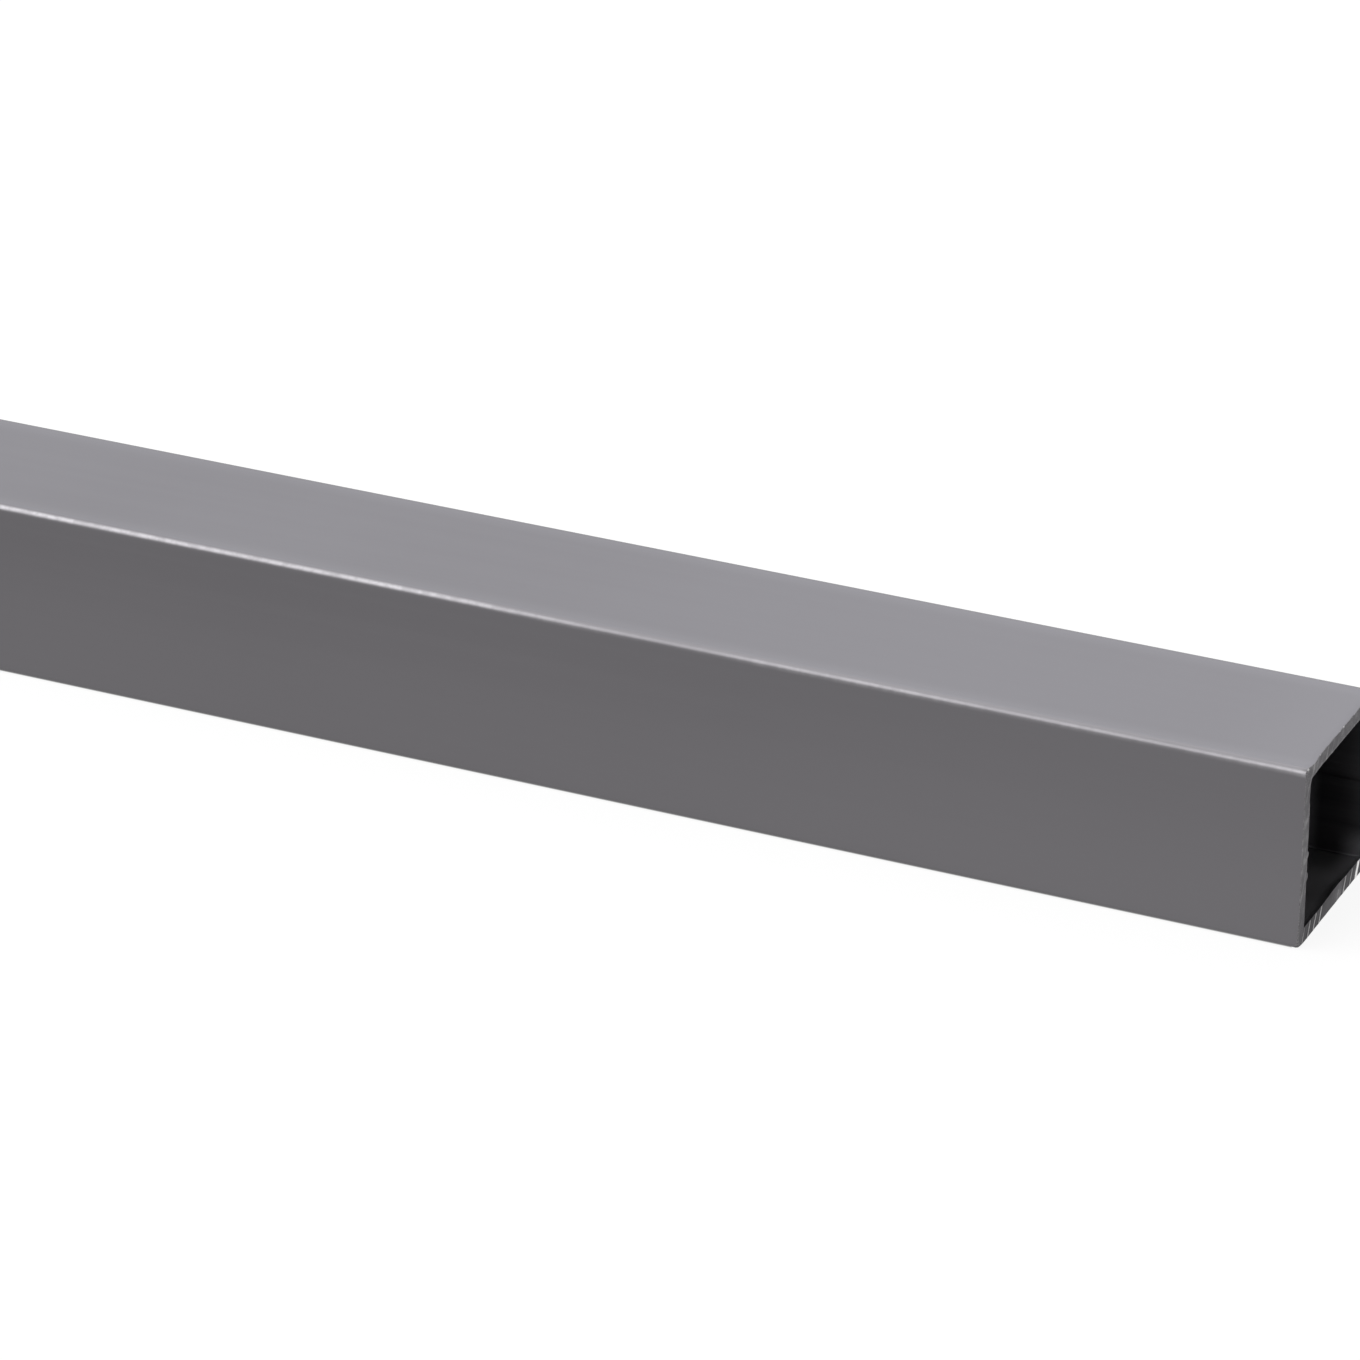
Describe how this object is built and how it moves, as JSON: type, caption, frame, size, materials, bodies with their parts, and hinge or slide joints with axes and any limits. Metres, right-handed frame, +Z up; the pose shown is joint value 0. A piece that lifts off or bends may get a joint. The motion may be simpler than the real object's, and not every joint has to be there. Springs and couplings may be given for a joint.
{
  "type": "square metal tube",
  "caption": "Straight length of hollow square steel tube with nearly sharp corners and ends sawn square, raw stock for frames, legs and brackets.",
  "frame": {"origin": "middle of the underside, halfway along the bar and halfway across it", "axes": "+X along the bar towards the sawn end that the picture shows, +Y towards the wall with the weld seam, +Z up out of the upper wall"},
  "size_m": [1, 0.02, 0.02],
  "materials": {
    "mill_steel": "cold-rolled mill finish, lightly oiled, satin with faint draw lines along the bar"
  },
  "bodies": {
    "root": {"square_tube": "mill_steel"}
  },
  "joints": []
}
